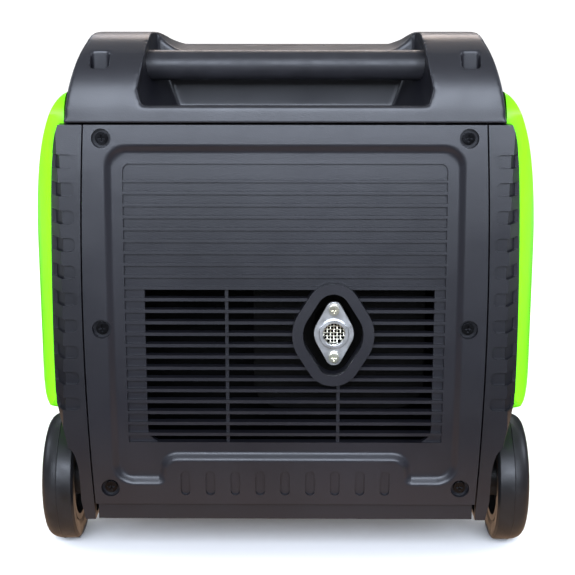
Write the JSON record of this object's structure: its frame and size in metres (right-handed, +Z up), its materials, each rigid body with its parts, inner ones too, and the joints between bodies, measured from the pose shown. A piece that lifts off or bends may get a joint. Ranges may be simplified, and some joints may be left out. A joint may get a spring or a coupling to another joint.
{
  "type": "portable generator",
  "caption": "Wheeled enclosed inverter generator with louvred exhaust end, fixed rear grip, telescopic pull handle, control panel, engine and alternator.",
  "frame": {"origin": "on the floor under the middle of the machine", "axes": "+X across the machine, to the right of someone facing the exhaust end; +Y towards the control end, -Y the exhaust end; +Z up"},
  "size_m": [0.461, 0.61, 0.4915],
  "materials": {
    "black_moulding": "satin, fine grain",
    "black_cover": "satin, smooth",
    "lime_moulding": "gloss",
    "soft_rubber": "matt",
    "tyre_rubber": "satin",
    "hub_moulding": "satin",
    "zinc_steel": "satin zinc",
    "black_steel": "matt",
    "black_screws": "black oxide",
    "grip_rubber": "satin",
    "red_moulding": "gloss",
    "nylon": "matt",
    "tank_moulding": "matt",
    "black_cap": "satin",
    "cast_alloy": "as cast",
    "plug_porcelain": "glazed",
    "forged_steel": "ground",
    "rotor_iron": "machined",
    "copper_windings": "enamelled",
    "rope_cord": "braided",
    "muffler_steel": "aluminised",
    "satin_steel": "satin",
    "yellow_zinc": "yellow zinc",
    "wire_gauze": "woven wire",
    "battery_case": "matt",
    "panel_sheet": "fine grain",
    "socket_moulding": "satin",
    "display_trim": "gloss",
    "knob_moulding": "satin",
    "rocker_moulding": "gloss",
    "white_moulding": "satin"
  },
  "bodies": {
    "housing": {"base_tray": "black_moulding", "front_feet": "soft_rubber", "engine_mounts": "soft_rubber", "engine_skid": "black_steel", "axle": "zinc_steel", "axle_caps": "zinc_steel", "left_side_shell": "black_moulding", "right_side_shell": "black_moulding", "left_side_panel": "lime_moulding", "right_side_panel": "lime_moulding", "rear_cover": "black_cover", "front_cover": "black_cover", "rear_cover_screws": "black_screws", "front_cover_screws": "black_screws", "top_cover_screws": "zinc_steel", "top_cover": "black_moulding", "rear_handle_grip": "grip_rubber", "handle_bushings": "nylon", "fuel_tank": "tank_moulding", "fuel_hose": "soft_rubber", "crankcase": "cast_alloy", "cylinder_block": "cast_alloy", "cylinder_head": "cast_alloy", "rocker_cover": "black_steel", "spark_plug": "plug_porcelain", "carburettor": "cast_alloy", "air_filter_box": "tank_moulding", "alternator_stator": "copper_windings", "fan_shroud": "black_steel", "recoil_cover": "nylon", "muffler": "muffler_steel", "muffler_shroud": "black_steel", "tailpipe_flange": "satin_steel", "tailpipe_screws": "yellow_zinc", "spark_arrestor": "wire_gauze", "inverter_module": "cast_alloy", "battery": "battery_case", "control_panel": "panel_sheet", "outlets": "socket_moulding", "panel_fittings": "display_trim"},
    "left_wheel": {"left_tyre": "tyre_rubber", "left_wheel_hub": "hub_moulding"},
    "right_wheel": {"right_tyre": "tyre_rubber", "right_wheel_hub": "hub_moulding"},
    "pull_handle": {"pull_handle_frame": "zinc_steel", "pull_handle_grip": "grip_rubber"},
    "release_button": {"handle_release_button": "red_moulding"},
    "fuel_lid": {"fuel_lid": "black_moulding"},
    "fuel_cap": {"fuel_cap": "black_cap"},
    "fuel_vent_knob": {"fuel_vent_knob": "black_cap"},
    "starter_grip": {"recoil_grip": "grip_rubber", "recoil_rope": "rope_cord"},
    "starter_pulley": {"recoil_pulley": "nylon"},
    "crank_train": {"crankshaft": "forged_steel", "alternator_rotor": "rotor_iron", "cooling_fan": "nylon"},
    "engine_knob": {"engine_knob": "knob_moulding"},
    "start_button": {"start_button": "red_moulding"},
    "eco_switch": {"eco_switch": "rocker_moulding"},
    "breaker_button": {"breaker_button": "white_moulding"}
  },
  "joints": [
    {"name": "left_wheel_spin", "type": "hinge", "parent": "housing", "child": "left_wheel", "pos_m": [-0.21, -0.215, 0.0615], "axis": [1, 0, 0], "continuous": true},
    {"name": "right_wheel_spin", "type": "hinge", "parent": "housing", "child": "right_wheel", "pos_m": [0.21, -0.215, 0.0615], "axis": [1, 0, 0], "continuous": true},
    {"name": "pull_handle_slide", "type": "slide", "parent": "housing", "child": "pull_handle", "axis": [0, 1, 0], "range_m": [0, 0.3]},
    {"name": "release_button_press", "type": "slide", "parent": "pull_handle", "child": "release_button", "axis": [0, 0, -1], "range_m": [0, 0.0025], "stiffness_N_per_m": 400, "springref_m": -0.004},
    {"name": "fuel_lid_open", "type": "hinge", "parent": "housing", "child": "fuel_lid", "pos_m": [0, 0.147, 0.462], "axis": [-1, 0, 0], "range_deg": [0, 100]},
    {"name": "fuel_cap_turn", "type": "hinge", "parent": "housing", "child": "fuel_cap", "pos_m": [0, 0.095, 0.448], "axis": [0, 0, 1], "range_deg": [0, 270]},
    {"name": "vent_knob_turn", "type": "hinge", "parent": "fuel_cap", "child": "fuel_vent_knob", "pos_m": [0, 0.095, 0.459], "axis": [0, 0, 1], "range_deg": [0, 90]},
    {"name": "starter_pull", "type": "slide", "parent": "housing", "child": "starter_grip", "axis": [1, 0, 0], "range_m": [0, 0.37], "stiffness_N_per_m": 30, "springref_m": -0.3},
    {"name": "starter_pulley_turn", "type": "hinge", "parent": "housing", "child": "starter_pulley", "pos_m": [0, 0.117, 0.165], "axis": [0, 1, 0], "range_deg": [0, 465]},
    {"name": "crank_turn", "type": "hinge", "parent": "housing", "child": "crank_train", "pos_m": [0, 0.02, 0.165], "axis": [0, 1, 0], "continuous": true},
    {"name": "engine_knob_turn", "type": "hinge", "parent": "housing", "child": "engine_knob", "pos_m": [-0.098, 0.295, 0.34], "axis": [0, 1, 0], "range_deg": [0, 90]},
    {"name": "start_button_press", "type": "slide", "parent": "housing", "child": "start_button", "axis": [0, -1, 0], "range_m": [0, 0.003], "stiffness_N_per_m": 500, "springref_m": -0.003},
    {"name": "eco_switch_rock", "type": "hinge", "parent": "housing", "child": "eco_switch", "pos_m": [-0.02, 0.286, 0.35], "axis": [1, 0, 0], "range_deg": [-10, 0]},
    {"name": "breaker_button_press", "type": "slide", "parent": "housing", "child": "breaker_button", "axis": [0, -1, 0], "range_m": [0, 0.002], "stiffness_N_per_m": 500, "springref_m": -0.003}
  ],
  "couplings": [
    {"joint": "starter_pulley_turn", "follows": "starter_pull", "rad_per_m": 21.739}
  ]
}
